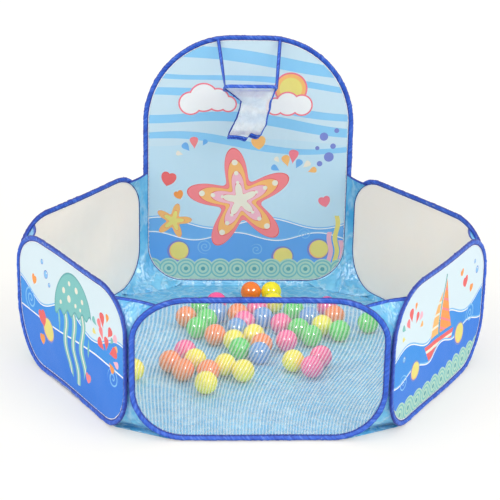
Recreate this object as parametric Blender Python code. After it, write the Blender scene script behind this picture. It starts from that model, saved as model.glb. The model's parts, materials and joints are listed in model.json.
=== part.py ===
"""Hexagonal pop-up ball pit with a tall backboard, a basketball hoop and play balls.

Six spring-steel wire hoops, each in a folded binding sleeve round a cloth panel, stand
in a ring on a cloth floor. Sheer gussets close the corners between the rounded hoops.
Metres, +Z up, front towards -Y, origin on the ground at the middle of the hexagon.
"""
import math

import bmesh
import bpy
from mathutils import Vector

for old in list(bpy.data.objects):
    bpy.data.objects.remove(old, do_unlink=True)

# Plan of the ring
SIDE = 0.600
APOTHEM = SIDE * math.sqrt(3) / 2
WALL_TOP = 0.355
BOARD_TOP = 0.742
FLOOR_T = 0.0010
STAND = 0.0014          # lowest point of the hoops, just above the floor cloth
PLANE_OUT = 0.0045      # hoops stand this far outside the hinge lines
CORNER = 0.0010         # side edge of a hoop to its hinge line
GAP = 0.0003

# Binding sleeve, folded round the wire and closed on the panel's edge
BIND_W = 0.0135
BIND_R = 0.0048
LIP_T = 0.0009
CLOTH_T = 0.0008
SLIT = CLOTH_T / 2 + GAP
PANEL_IN = 0.0090       # panel edge, measured in from the sleeve's outer edge
WIRE_R = 0.0016
CRIMP_R = 0.0024

# Corner radii of the hoops, (along, up): start foot, end foot, end top, start top
LOW = {
    "front": ((0.128, 0.128), (0.128, 0.128), (0.138, 0.108), (0.138, 0.108)),
    "front_left": ((0.145, 0.160), (0.105, 0.112), (0.128, 0.104), (0.132, 0.104)),
    "front_right": ((0.112, 0.104), (0.145, 0.130), (0.132, 0.112), (0.168, 0.132)),
    "back_left": ((0.118, 0.122), (0.138, 0.140), (0.132, 0.110), (0.132, 0.110)),
    "back_right": ((0.138, 0.140), (0.118, 0.122), (0.132, 0.110), (0.132, 0.112)),
}
BOARD = ((0.118, 0.118), (0.118, 0.118), (0.252, 0.256), (0.252, 0.256))

# Hoop on the backboard
HOOP_Z = 0.583
HOOP_TILT = math.radians(17.5)
HOOP_W, HOOP_D, HOOP_CORNER = 0.150, 0.160, 0.030
HOOP_R = 0.0034
HOOP_BIND = 0.0062

BALL_R = 0.029
BALL_Z = FLOOR_T + GAP + BALL_R

corner = {
    "BR": Vector((SIDE / 2, APOTHEM, 0)), "R": Vector((SIDE, 0, 0)),
    "FR": Vector((SIDE / 2, -APOTHEM, 0)), "FL": Vector((-SIDE / 2, -APOTHEM, 0)),
    "L": Vector((-SIDE, 0, 0)), "BL": Vector((-SIDE / 2, APOTHEM, 0)),
}
# Each wall runs so that its outer face is on the right hand, seen from above
WALLS = {
    "board": ("BR", "BL"), "back_left": ("BL", "L"), "front_left": ("L", "FL"),
    "front": ("FL", "FR"), "front_right": ("FR", "R"), "back_right": ("R", "BR"),
}


def material(name, colour, rough, alpha=1.0, metal=0.0):
    mat = bpy.data.materials.new(name)
    mat.use_nodes = True
    shader = mat.node_tree.nodes["Principled BSDF"]
    shader.inputs["Base Color"].default_value = (*colour, 1.0)
    shader.inputs["Roughness"].default_value = rough
    shader.inputs["Metallic"].default_value = metal
    shader.inputs["Alpha"].default_value = alpha
    return mat


binding_cloth = material("binding_cloth", (0.03, 0.09, 0.62), 0.6)
spring_steel = material("spring_steel", (0.45, 0.46, 0.48), 0.35, metal=1.0)
printed_cloth = material("printed_cloth", (0.48, 0.72, 0.88), 0.7)
plain_cloth = material("plain_cloth", (0.82, 0.80, 0.78), 0.8)
blue_mesh = material("blue_mesh", (0.25, 0.56, 0.80), 0.7)
sheer_nylon = material("sheer_nylon", (0.22, 0.60, 0.90), 0.45)
floor_nylon = material("floor_nylon", (0.24, 0.62, 0.88), 0.5)
white_net = material("white_net", (0.85, 0.84, 0.86), 0.8)
ball_colours = {
    "orange": material("ball_orange", (0.95, 0.24, 0.04), 0.3),
    "green": material("ball_green", (0.10, 0.60, 0.15), 0.3),
    "pink": material("ball_pink", (0.95, 0.12, 0.40), 0.3),
    "blue": material("ball_blue", (0.06, 0.25, 0.75), 0.3),
    "yellow": material("ball_yellow", (0.95, 0.80, 0.03), 0.3),
}


def add_mesh(name, points, faces, mat, smooth=True):
    mesh = bpy.data.meshes.new(name)
    mesh.from_pydata([tuple(p) for p in points], [], faces)
    mesh.update()
    bm = bmesh.new()
    bm.from_mesh(mesh)
    bmesh.ops.recalc_face_normals(bm, faces=bm.faces)
    bm.to_mesh(mesh)
    bm.free()
    mesh.polygons.foreach_set("use_smooth", [smooth] * len(mesh.polygons))
    mesh.materials.append(mat)
    obj = bpy.data.objects.new(name, mesh)
    bpy.context.scene.collection.objects.link(obj)
    return obj


def rounded_outline(length, foot, top, radii, n_foot=6, n_top=6):
    """Points (along, up) of a rounded rectangle, anticlockwise from its end foot."""
    (ax, az), (bx, bz), (cx, cz), (dx, dz) = radii
    points = []
    for rx, rz, ox, oz, a0, n in (
        (bx, bz, length - bx, foot + bz, -90, n_foot), (cx, cz, length - cx, top - cz, 0, n_top),
        (dx, dz, dx, top - dz, 90, n_top), (ax, az, ax, foot + az, 180, n_foot),
    ):
        for k in range(n + 1):
            a = math.radians(a0 + 90 * k / n)
            points.append((ox + rx * math.cos(a), oz + rz * math.sin(a)))
    return points


def inward_normals(outline):
    normals = []
    for k in range(len(outline)):
        (x0, z0), (x1, z1) = outline[k - 1], outline[(k + 1) % len(outline)]
        d = math.hypot(x1 - x0, z1 - z0)
        normals.append((-(z1 - z0) / d, (x1 - x0) / d))
    return normals


def offset_outline(outline, inward):
    return [(p[0] + n[0] * inward, p[1] + n[1] * inward)
            for p, n in zip(outline, inward_normals(outline))]


class Plane:
    """Maps (along, up, out) of a flat piece to the row's frame."""

    def __init__(self, origin, along, up, out):
        self.origin, self.along, self.up, self.out = origin, along, up, out

    def at(self, u, v, w=0.0):
        return self.origin + self.along * u + self.up * v + self.out * w


def wall_plane(name):
    start, end = (corner[c] for c in WALLS[name])
    along = (end - start).normalized()
    # The ring runs anticlockwise seen from above, so the outside is on its right
    out = along.cross(Vector((0, 0, 1)))
    return Plane(start + along * CORNER + out * PLANE_OUT, along, Vector((0, 0, 1)), out)


def sweep(name, plane, outline, section_at, mat):
    """Closed sweep of a section (inward, out) round an outline."""
    normals = inward_normals(outline)
    rings = []
    for k, (p, n) in enumerate(zip(outline, normals)):
        rings.append([plane.at(p[0] + n[0] * a, p[1] + n[1] * a, b) for a, b in section_at(k)])
    m, total = len(rings[0]), len(rings)
    points = [p for ring in rings for p in ring]
    faces = [(i * m + j, i * m + (j + 1) % m, (i + 1) % total * m + (j + 1) % m,
              (i + 1) % total * m + j) for i in range(total) for j in range(m)]
    return add_mesh(name, points, faces, mat)


def sleeve_section(width, radius, lip, slit):
    """C-shaped section: a tube for the wire, drawn in to two lips that grip the cloth."""
    inner = radius - lip
    mouth = radius + math.sqrt(inner ** 2 - slit ** 2)

    def round_at(r, deg):
        return (radius + r * math.cos(math.radians(deg)), r * math.sin(math.radians(deg)))
    upper = [(width, slit + lip), (0.58 * width + 0.42 * radius, slit + 0.55 * radius),
             round_at(radius, 68), round_at(radius, 122)]
    outer = upper + [(0.0, 0.0)] + [(a, -b) for a, b in reversed(upper)]
    throat = [(width, -slit), (mouth, -slit), round_at(inner, -80), round_at(inner, 180)]
    return outer + throat + [round_at(inner, 80), (mouth, slit), (width, slit)]


def flat_sheet(name, plane, outline, thickness, mat):
    n = len(outline)
    points = [plane.at(u, v, thickness / 2) for u, v in outline]
    points += [plane.at(u, v, -thickness / 2) for u, v in outline]
    faces = [tuple(range(n)), tuple(reversed(range(n, 2 * n)))]
    faces += [(k, (k + 1) % n, n + (k + 1) % n, n + k) for k in range(n)]
    return add_mesh(name, points, faces, mat, smooth=False)


def wire_section(radius, centre):
    return [(centre + radius * math.cos(math.radians(60 * k)), radius * math.sin(math.radians(60 * k)))
            for k in range(6)]


# Wire hoops, binding sleeves and panels
panel_cloth = {"board": printed_cloth, "front_left": printed_cloth, "front_right": printed_cloth,
               "back_left": plain_cloth, "back_right": plain_cloth, "front": blue_mesh}
outlines, planes = {}, {}
for wall in WALLS:
    planes[wall] = wall_plane(wall)
    tall = wall == "board"
    outlines[wall] = rounded_outline(
        SIDE - 2 * CORNER, STAND, BOARD_TOP if tall else WALL_TOP,
        BOARD if tall else LOW[wall], n_top=10 if tall else 6)
    profile = sleeve_section(BIND_W, BIND_R, LIP_T, SLIT)
    sweep(f"binding_{wall}", planes[wall], outlines[wall], lambda k: profile, binding_cloth)

    thin, thick = wire_section(WIRE_R, BIND_R), wire_section(CRIMP_R, BIND_R)
    crimp = (0, len(outlines[wall]) - 1)
    sweep(f"wire_{wall}", planes[wall], outlines[wall],
          lambda k: thick if k in crimp else thin, spring_steel)
    if wall != "front":
        flat_sheet(f"panel_{wall}", planes[wall], offset_outline(outlines[wall], PANEL_IN),
                   CLOTH_T, panel_cloth[wall])

# Front panel: an open net, its holes cut through one sheet inside a closed edge
net_edge = offset_outline(outlines["front"], PANEL_IN)
front_net = flat_sheet("panel_front", planes["front"], net_edge, CLOTH_T, blue_mesh)
NET_COLUMNS, NET_ROWS, NET_STEP, NET_HOLE = 20, 12, 0.0270, 0.0236
length = SIDE - 2 * CORNER
middle = (length / 2, (WALL_TOP + STAND) / 2)
safe = offset_outline(outlines["front"], BIND_W + 0.004)


def inside(u, v, ring):
    hit = False
    for k in range(len(ring)):
        (x0, y0), (x1, y1) = ring[k - 1], ring[k]
        if (y0 > v) != (y1 > v) and u < x0 + (v - y0) / (y1 - y0) * (x1 - x0):
            hit = not hit
    return hit


hole_points, hole_faces = [], []
for i in range(NET_COLUMNS):
    for j in range(NET_ROWS):
        u = middle[0] + (i - (NET_COLUMNS - 1) / 2) * NET_STEP
        v = middle[1] + (j - (NET_ROWS - 1) / 2) * NET_STEP
        h = NET_HOLE / 2
        square = [(u - h, v - h), (u + h, v - h), (u + h, v + h), (u - h, v + h)]
        if not all(inside(a, b, safe) for a, b in square):
            continue
        base = len(hole_points)
        hole_points += [planes["front"].at(a, b, w) for w in (-0.003, 0.003) for a, b in square]
        for f in ((0, 1, 2, 3), (7, 6, 5, 4), (0, 4, 5, 1), (1, 5, 6, 2), (2, 6, 7, 3), (3, 7, 4, 0)):
            hole_faces.append(tuple(base + k for k in f))
holes = add_mesh("net_holes", hole_points, hole_faces, blue_mesh, smooth=False)
holes.hide_render = True
holes.display_type = "WIRE"
cut = front_net.modifiers.new("holes", "BOOLEAN")
cut.operation, cut.solver, cut.object = "DIFFERENCE", "EXACT", holes


# Corner gussets: sheer cloth ruled between the rounded ends of two neighbouring hoops
EDGE_GAP = 0.0006


GUSSET_TOP = 60  # degrees round a hoop's upper corner at which the gusset's top edge starts


def end_curve(wall, at_end, n=6):
    """Points along the hoop's outer edge at one end, from foot to top, a gap outside it."""
    length = SIDE - 2 * CORNER
    tall = wall == "board"
    radii = BOARD if tall else LOW[wall]
    (fx, fz), (tx, tz) = radii[1 if at_end else 0], radii[2 if at_end else 3]
    foot_angles = [math.radians(90 * k / n) for k in range(n, -1, -1)]
    angles = [math.radians(GUSSET_TOP * k / n) for k in range(n + 1)]
    edge = [(fx * (1 - math.cos(a)), STAND + fz * (1 - math.sin(a))) for a in foot_angles]
    if tall:
        # The tall board's side is straight where the low hoops curve in
        edge += [(0.0, WALL_TOP - 0.108 + 0.108 * math.sin(a)) for a in angles]
    else:
        edge += [(tx * (1 - math.cos(a)), WALL_TOP - tz + tz * math.sin(a)) for a in angles]
    curve = []
    for k, (u, z) in enumerate(edge):
        (u0, z0), (u1, z1) = edge[max(k - 1, 0)], edge[min(k + 1, len(edge) - 1)]
        d = math.hypot(u1 - u0, z1 - z0)
        u, z = u - (z1 - z0) / d * EDGE_GAP, z + (u1 - u0) / d * EDGE_GAP
        if k == 0:
            u, z = fx - 0.016, STAND + 0.0001
        curve.append(planes[wall].at(length - u if at_end else u, max(z, STAND + 0.0001)))
    return curve


GUSSET_T = 0.0006
GUSSET_ACROSS = 4
corner_names = {"BL": "back_left", "L": "left", "FL": "front_left", "FR": "front_right",
                "R": "right", "BR": "back_right"}
for ending, (start_name, end_name) in WALLS.items():
    following = next(w for w, ends in WALLS.items() if ends[0] == end_name)
    first, second = end_curve(ending, True), end_curve(following, False)
    front_points, back_points = [], []
    rows, m = len(first), GUSSET_ACROSS + 1
    for i in range(rows):
        p, q = first[i], second[i]
        across = q - p
        inward = -corner[end_name].normalized()
        for j in range(m):
            t = j / GUSSET_ACROSS
            slack = 0.055 * across.length * math.sin(math.pi * t)
            mid = p + across * t + inward * slack
            front_points.append(mid + inward * GUSSET_T / 2)
            back_points.append(mid - inward * GUSSET_T / 2)
    count = rows * m
    faces = []
    for i in range(rows - 1):
        for j in range(m - 1):
            a, b, c, d = i * m + j, i * m + j + 1, (i + 1) * m + j + 1, (i + 1) * m + j
            faces += [(a, b, c, d), (count + a, count + d, count + c, count + b)]
    rim = [j for j in range(m)] + [i * m + m - 1 for i in range(1, rows)]
    rim += [(rows - 1) * m + j for j in range(m - 2, -1, -1)] + [i * m for i in range(rows - 2, 0, -1)]
    for k in range(len(rim)):
        a, b = rim[k], rim[(k + 1) % len(rim)]
        faces.append((a, b, count + b, count + a))
    add_mesh(f"gusset_{corner_names[end_name]}", front_points + back_points, faces, sheer_nylon)

# Floor cloth: a hexagon with its corners taken off where the hoops round away
floor_outline = []
for wall in WALLS:
    radii = BOARD if wall == "board" else LOW[wall]
    length = SIDE - 2 * CORNER
    floor_outline.append(planes[wall].at(radii[0][0] * 0.92, 0, 0.003))
    floor_outline.append(planes[wall].at(length - radii[1][0] * 0.92, 0, 0.003))
floor_plane = Plane(Vector((0, 0, FLOOR_T / 2)), Vector((1, 0, 0)), Vector((0, 1, 0)), Vector((0, 0, 1)))
flat_sheet("floor", floor_plane, [(p.x, p.y) for p in floor_outline], FLOOR_T, floor_nylon)

# Basketball hoop: a wire ring in its own sleeve, hung on the board's front face
board_face = APOTHEM + PLANE_OUT - CLOTH_T / 2
hinge_y = board_face - GAP - HOOP_R
ring_plane = Plane(
    Vector((-HOOP_W / 2, hinge_y, HOOP_Z)), Vector((1, 0, 0)),
    Vector((0, -math.cos(HOOP_TILT), math.sin(HOOP_TILT))),
    Vector((0, -math.sin(HOOP_TILT), -math.cos(HOOP_TILT))))
ring_radii = ((HOOP_CORNER, HOOP_CORNER),) * 4
ring_outline = rounded_outline(HOOP_W, -HOOP_R, HOOP_D - HOOP_R, ring_radii, 5, 5)
ring_profile = sleeve_section(HOOP_BIND, HOOP_R, 0.0007, 0.0007)
sweep("hoop_binding", ring_plane, ring_outline, lambda k: ring_profile, binding_cloth)
hoop_wire = wire_section(0.0012, HOOP_R)
sweep("hoop_wire", ring_plane, ring_outline, lambda k: hoop_wire, spring_steel)

# Tape that sews the ring's back bar to the board
tape_plane = Plane(Vector((-HOOP_W / 2 + HOOP_CORNER, board_face - GAP - 0.0005, HOOP_Z - HOOP_R - GAP)),
                   Vector((1, 0, 0)), Vector((0, 0, -1)), Vector((0, -1, 0)))
flat_sheet("hoop_tape", tape_plane,
           [(0, 0), (HOOP_W - 2 * HOOP_CORNER, 0), (HOOP_W - 2 * HOOP_CORNER, 0.014), (0, 0.014)],
           0.0010, binding_cloth)

# Net: an open cloth funnel and tube that hangs inside the ring
net_top = offset_outline(ring_outline, HOOP_BIND + 0.0005)
net_rows = (  # centre x, centre y, z, half width, half depth; the first row is the ring itself
    (0.000, 0.432, 0.586, 0.0400, 0.0420),
    (-0.006, 0.432, 0.560, 0.0365, 0.0370),
    (-0.014, 0.432, 0.524, 0.0365, 0.0360),
    (-0.022, 0.430, 0.490, 0.0365, 0.0360),
)


def net_ring(row, grow):
    cx, cy, z, hw, hd = row
    ring = rounded_outline(2 * hw, -hd, hd, ((0.020, 0.020),) * 4, 5, 5)
    return [Vector((cx - hw + u, cy - v, z)) for u, v in offset_outline(ring, -grow)]


def tube(name, rings_in, rings_out, mat):
    n = len(rings_in[0])
    points = [p for ring in rings_out for p in ring] + [p for ring in rings_in for p in ring]
    base, rows = n * len(rings_out), len(rings_out)
    faces = []
    for i in range(rows - 1):
        for k in range(n):
            a, b, c, d = i * n + k, i * n + (k + 1) % n, (i + 1) * n + (k + 1) % n, (i + 1) * n + k
            faces += [(a, b, c, d), (base + a, base + d, base + c, base + b)]
    for k in range(n):
        a, b = k, (k + 1) % n
        faces.append((a, base + a, base + b, b))
        a, b = (rows - 1) * n + k, (rows - 1) * n + (k + 1) % n
        faces.append((a, b, base + b, base + a))
    return add_mesh(name, points, faces, mat)


NET_T = 0.0008
top_out = [ring_plane.at(u, v) for u, v in net_top]
top_in = [ring_plane.at(u, v) for u, v in offset_outline(net_top, NET_T)]
tube("net", [top_in] + [net_ring(r, 0) for r in net_rows],
     [top_out] + [net_ring(r, NET_T) for r in net_rows], white_net)
hem_top, hem_foot = list(net_rows[-1]), list(net_rows[-1])
hem_top[2] -= GAP
hem_foot[2] -= 0.009
tube("net_hem", [net_ring(hem_top, -0.0002), net_ring(hem_foot, -0.0002)],
     [net_ring(hem_top, 0.0012), net_ring(hem_foot, 0.0012)], binding_cloth)

# Straps: flat tapes from the board's top binding down to the ring's front corners
STRAP_W, STRAP_T = 0.0085, 0.0010
front_bar = ring_plane.at(0, HOOP_D - HOOP_R - HOOP_R)
for side, x_top, x_foot in (("left", -0.083, -0.068), ("right", 0.081, 0.070)):
    top = Vector((x_top, board_face - GAP - 0.0006, BOARD_TOP - 0.021))
    foot = Vector((x_foot, front_bar.y, front_bar.z + HOOP_R + GAP + 0.0004))
    down = (foot - top).normalized()
    wide = Vector((1, 0, 0))
    thick = down.cross(wide).normalized()
    points = []
    for k in range(7):
        t = k / 6
        turn = math.radians(14) * math.sin(math.pi * t)
        w = wide * math.cos(turn) + thick * math.sin(turn)
        h = thick * math.cos(turn) - wide * math.sin(turn)
        c = top.lerp(foot, t)
        points += [c + w * STRAP_W / 2 * a + h * STRAP_T / 2 * b
                   for a, b in ((-1, -1), (1, -1), (1, 1), (-1, 1))]
    faces = [(0, 3, 2, 1), (24, 25, 26, 27)]
    for k in range(6):
        faces += [(4 * k + j, 4 * k + (j + 1) % 4, 4 * k + 4 + (j + 1) % 4, 4 * k + 4 + j)
                  for j in range(4)]
    add_mesh(f"strap_{side}", points, faces, binding_cloth, smooth=False)

# Play balls on the floor
BALLS = (
    (-0.172, 0.186, "orange"), (-0.132, 0.258, "green"), (-0.142, 0.106, "green"),
    (-0.088, 0.297, "pink"), (-0.094, 0.056, "orange"), (-0.030, 0.212, "orange"),
    (-0.036, 0.102, "blue"), (-0.045, 0.018, "yellow"), (0.024, 0.252, "pink"),
    (0.037, 0.184, "blue"), (0.027, -0.008, "orange"), (0.071, 0.298, "yellow"),
    (0.085, 0.139, "pink"), (0.094, 0.017, "pink"), (0.126, 0.237, "green"),
    (0.165, 0.187, "blue"), (0.161, 0.053, "green"), (0.220, 0.270, "pink"),
    (0.235, 0.200, "orange"), (0.240, 0.090, "green"), (0.323, 0.150, "green"),
    (0.104, -0.118, "yellow"), (0.150, -0.156, "pink"), (-0.173, -0.055, "pink"),
    (-0.211, -0.127, "orange"), (-0.114, -0.187, "orange"), (-0.026, -0.184, "yellow"),
    (-0.303, -0.181, "yellow"),
)
for k, (x, y, colour) in enumerate(BALLS):
    bpy.ops.mesh.primitive_ico_sphere_add(subdivisions=2, radius=BALL_R, location=(x, y, BALL_Z))
    ball = bpy.context.object
    ball.name = f"ball_{k + 1:02d}"
    ball.data.polygons.foreach_set("use_smooth", [True] * len(ball.data.polygons))
    ball.data.materials.append(ball_colours[colour])
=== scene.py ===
"""A pop-up ball pit: six wire-hoop walls round a cloth floor, a basketball hoop and play balls.

Metres, +Z up, front towards -Y. The pieces follow the pit as it is put together.
"""

import json
import math
from contextlib import contextmanager

import bpy
import numpy as np
from mathutils import Matrix, Quaternion, Vector, noise


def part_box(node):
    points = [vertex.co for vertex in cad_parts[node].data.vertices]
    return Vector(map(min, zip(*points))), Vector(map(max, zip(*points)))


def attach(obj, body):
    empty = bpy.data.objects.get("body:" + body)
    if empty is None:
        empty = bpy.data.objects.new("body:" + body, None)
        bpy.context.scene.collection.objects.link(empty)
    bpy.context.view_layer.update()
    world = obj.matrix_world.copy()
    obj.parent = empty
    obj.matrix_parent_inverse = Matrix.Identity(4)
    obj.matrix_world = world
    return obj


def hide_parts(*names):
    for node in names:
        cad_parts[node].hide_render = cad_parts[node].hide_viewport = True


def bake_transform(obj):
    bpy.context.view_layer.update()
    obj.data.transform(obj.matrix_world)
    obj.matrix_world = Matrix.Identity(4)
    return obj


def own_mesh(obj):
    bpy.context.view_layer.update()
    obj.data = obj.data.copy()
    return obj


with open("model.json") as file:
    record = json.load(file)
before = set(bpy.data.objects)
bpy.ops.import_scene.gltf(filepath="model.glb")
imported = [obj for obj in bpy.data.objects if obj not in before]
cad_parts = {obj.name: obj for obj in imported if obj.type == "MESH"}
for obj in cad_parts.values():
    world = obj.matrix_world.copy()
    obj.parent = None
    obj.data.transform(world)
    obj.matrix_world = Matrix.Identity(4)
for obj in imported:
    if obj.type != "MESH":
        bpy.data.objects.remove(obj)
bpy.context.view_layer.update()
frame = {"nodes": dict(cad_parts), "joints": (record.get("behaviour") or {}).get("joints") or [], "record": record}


# Camera: it stands a little left of the pit's middle and looks down on it through a
# long lens, turned by about a degree.
PICTURE_PX, FOCAL_PX, SENSOR_MM = 500, 1607, 36
AIM = Vector((-0.008, 0.0, 0.288))
CAMERA_TURN, CAMERA_RISE, CAMERA_ROLL = -2.12, 18.95, 1.13      # degrees
CAMERA_REACH = 4.135


def toward(turn, rise):
    """Direction seen from the pit, in degrees to the right of its front and up."""
    turn, rise = math.radians(turn), math.radians(rise)
    return Vector((math.sin(turn) * math.cos(rise), -math.cos(turn) * math.cos(rise), math.sin(rise)))


view = toward(CAMERA_TURN, CAMERA_RISE)
bpy.ops.object.camera_add(location=AIM + view * CAMERA_REACH)
camera = bpy.context.object
camera.rotation_mode = "QUATERNION"
rolled = Quaternion((0, 0, 1), math.radians(CAMERA_ROLL))
camera.rotation_quaternion = (-view).to_track_quat("-Z", "Y") @ rolled
camera.data.sensor_width = SENSOR_MM
camera.data.lens = FOCAL_PX / PICTURE_PX * SENSOR_MM
bpy.context.scene.camera = camera
bpy.context.scene.view_settings.view_transform = "Standard"


# Studio: a white floor in even white light, two wide soft lights at the sides, and two
# small ones between them that give each ball its pair of glints.
WHITE = (1.0, 1.0, 1.0, 1.0)
SKY_LIGHT = 0.93
STUDIO_LIGHTS = (       # name, degrees right of the camera, degrees up and wide, share of the light
    ("side_left", -56, 33, 44, 0.17), ("side_right", 52, 36, 44, 0.24),
    ("glint_left", -34, 35, 9, 1.80), ("glint_right", 34, 35, 9, 1.80),
)
GROUND_SIZE, GROUND_DROP = 60, 0.0004
GROUND_TONE, GROUND_GLOW = (0.965, 0.950, 0.905, 1.0), (1.0, 0.982, 0.955, 1.0)
GLOW_SHARE = 0.42


def feed(tree, socket, value):
    """Sets a node's input, or links another node's output to it."""
    if isinstance(value, (int, float, tuple)):
        socket.default_value = value
    else:
        tree.links.new(getattr(value, "socket", value), socket)


def add_node(tree, kind, inputs=(), **settings):
    """A new shader node with its settings, and its inputs in their order, or by name or number."""
    node = tree.nodes.new("ShaderNode" + kind)
    for name, value in settings.items():
        setattr(node, name, value)
    for place, value in inputs.items() if isinstance(inputs, dict) else enumerate(inputs):
        feed(tree, node.inputs[place], value)
    return node


def reckon(tree, kind, *values):
    """Value of a Math node fed with numbers, values or other nodes' outputs."""
    return Value(tree, add_node(tree, "Math", values, operation=kind).outputs[0])


class Value:
    """A shader's number, to reckon with like any other: each step is a Math node."""

    def __init__(self, tree, socket):
        self.tree, self.socket = tree, socket

    def by(self, kind, *values):
        return reckon(self.tree, kind, self, *values)

    def __add__(self, other):
        return self.by("ADD", other)

    def __sub__(self, other):
        return self.by("SUBTRACT", other)

    def __rsub__(self, other):
        return reckon(self.tree, "SUBTRACT", other, self)

    def __mul__(self, other):
        return self.by("MULTIPLY", other)

    __radd__, __rmul__ = __add__, __mul__

    def __lt__(self, other):
        return self.by("LESS_THAN", other)

    def __gt__(self, other):
        return self.by("GREATER_THAN", other)

    def near(self, other, reach):
        return self.by("COMPARE", other, reach)

    def clamped(self):
        return self.by("MAXIMUM", 0.0).by("MINIMUM", 1.0)

    def sine(self):
        return self.by("SINE")

    def root(self):
        return self.by("SQRT")


def mixed_shader(tree, share, below, above, output):
    """Shows one shader with another laid over it."""
    node = add_node(tree, "MixShader", (share, below.outputs[0], above.outputs[0]))
    feed(tree, tree.nodes[output].inputs["Surface"], node.outputs[0])


def new_material(name, rough, sheen=0.0, specular=0.5):
    """(material, node tree, principled shader)"""
    mat = bpy.data.materials.new(name)
    mat.use_nodes = True
    shader = mat.node_tree.nodes["Principled BSDF"]
    shader.inputs["Roughness"].default_value = rough
    shader.inputs["Sheen Weight"].default_value = sheen
    shader.inputs["Specular IOR Level"].default_value = specular
    return mat, mat.node_tree, shader


world = bpy.data.worlds.new("studio")
bpy.context.scene.world = world
world.use_nodes = True
tree = world.node_tree
rays = add_node(tree, "LightPath").outputs
seen = reckon(tree, "MAXIMUM", rays["Is Camera Ray"], rays["Is Glossy Ray"])
seen = seen.by("MAXIMUM", rays["Is Transmission Ray"])
lit = tree.nodes["Background"]
feed(tree, lit.inputs["Color"], WHITE)
feed(tree, lit.inputs["Strength"], SKY_LIGHT)
mixed_shader(tree, seen, lit, add_node(tree, "Background", (WHITE, 1.0)), "World Output")

for name, turn, rise, across, share in STUDIO_LIGHTS:
    aimed = toward(CAMERA_TURN + turn, rise)
    bpy.ops.object.light_add(type="SUN", location=AIM + aimed * CAMERA_REACH)
    light = bpy.context.object
    light.name = name
    light.rotation_euler = (-aimed).to_track_quat("-Z", "Y").to_euler()
    light.data.angle = math.radians(across)
    light.data.energy = share * math.pi
    light.visible_diffuse = not name.startswith("glint")

bpy.ops.mesh.primitive_plane_add(size=GROUND_SIZE, location=(0, 0, -GROUND_DROP))
ground = bpy.context.object
ground.name = "studio_floor"
mat, tree, shader = new_material("studio_white", 1.0, specular=0.0)
shader.inputs["Base Color"].default_value = GROUND_TONE
# Seen directly the floor glows a little, so the shadow on it stays pale
seen = reckon(tree, "MULTIPLY", add_node(tree, "LightPath").outputs["Is Camera Ray"], GLOW_SHARE)
mixed_shader(tree, seen, shader, add_node(tree, "Emission", (GROUND_GLOW,)), "Material Output")
ground.data.materials.append(mat)


# Wall hoops: six loops of spring-steel wire, each crimped shut in the middle of its foot.
# They lie inside their sleeves, so the frame's own wires stay and get bare steel.
CORNER_GAP = 0.0010     # side of a hoop to its hinge line
PLANE_OUT = 0.0045      # hoops stand this far outside the hinge lines
FOOT = 0.0014           # lowest point of the hoops
WALL_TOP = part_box("binding_front")[1].z
BOARD_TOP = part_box("binding_board")[1].z
UP = Vector((0, 0, 1))

hinge_at = {j["name"]: Vector(j["pos_m"][:2] + [0]) for j in frame["joints"] if "range_deg" in j}
corner = {
    "BR": hinge_at["wall_fold"], "R": hinge_at["seam_right"], "FR": hinge_at["seam_front_right"],
    "FL": hinge_at["seam_front_left"], "L": hinge_at["seam_left"], "BL": hinge_at["seam_back_left"],
}
WALLS = {
    "board": ("BR", "BL"), "back_left": ("BL", "L"), "front_left": ("L", "FL"),
    "front": ("FL", "FR"), "front_right": ("FR", "R"), "back_right": ("R", "BR"),
}
SPAN = (corner["BR"] - corner["BL"]).length - 2 * CORNER_GAP
# Corner radii (along, up) of each loop: start foot, end foot, end top, start top
RADII = {
    "board": ((0.118, 0.118), (0.118, 0.118), (0.252, 0.256), (0.252, 0.256)),
    "front": ((0.128, 0.128), (0.128, 0.128), (0.138, 0.108), (0.138, 0.108)),
    "front_left": ((0.145, 0.160), (0.105, 0.112), (0.128, 0.104), (0.132, 0.104)),
    "front_right": ((0.112, 0.104), (0.145, 0.130), (0.132, 0.112), (0.168, 0.132)),
    "back_left": ((0.118, 0.122), (0.138, 0.140), (0.132, 0.110), (0.132, 0.110)),
    "back_right": ((0.138, 0.140), (0.118, 0.122), (0.132, 0.110), (0.132, 0.112)),
}
# Each loop stands slightly out of true: its swing, and the phase of that swing
BOW = {"board": (0.0020, 0.3), "back_left": (0.0035, 1.1), "front_left": (0.0040, 2.3),
       "front": (0.0030, 0.2), "front_right": (0.0040, 4.1), "back_right": (0.0035, 5.0)}
BOW_UP, BOW_ALONG = 2.4 * math.pi, 5.2      # how fast the swing's phase runs up and along a wall
ARC_POINTS = 40


def top_of(wall):
    return BOARD_TOP if wall == "board" else WALL_TOP


def wall_axes(wall):
    """A wall's first corner, and its directions along and out."""
    start, end = (corner[c] for c in WALLS[wall])
    along = (end - start).normalized()
    return start, along, along.cross(UP)


def wall_frame(wall):
    """Matrix from (along, up, out) on the wall to the row's frame."""
    start, along, out = wall_axes(wall)
    at = start + along * CORNER_GAP + out * PLANE_OUT
    return Matrix([[along[k], UP[k], out[k], at[k]] for k in range(3)] + [[0, 0, 0, 1]])


def bowed(wall, u, v):
    """How far the loop and its cloth stand out of their plane at (along, up)."""
    swing, phase = BOW[wall]
    return swing * np.sin(np.pi * u / SPAN) * np.sin(BOW_UP * v / top_of(wall) + BOW_ALONG * u / SPAN + phase)


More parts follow.
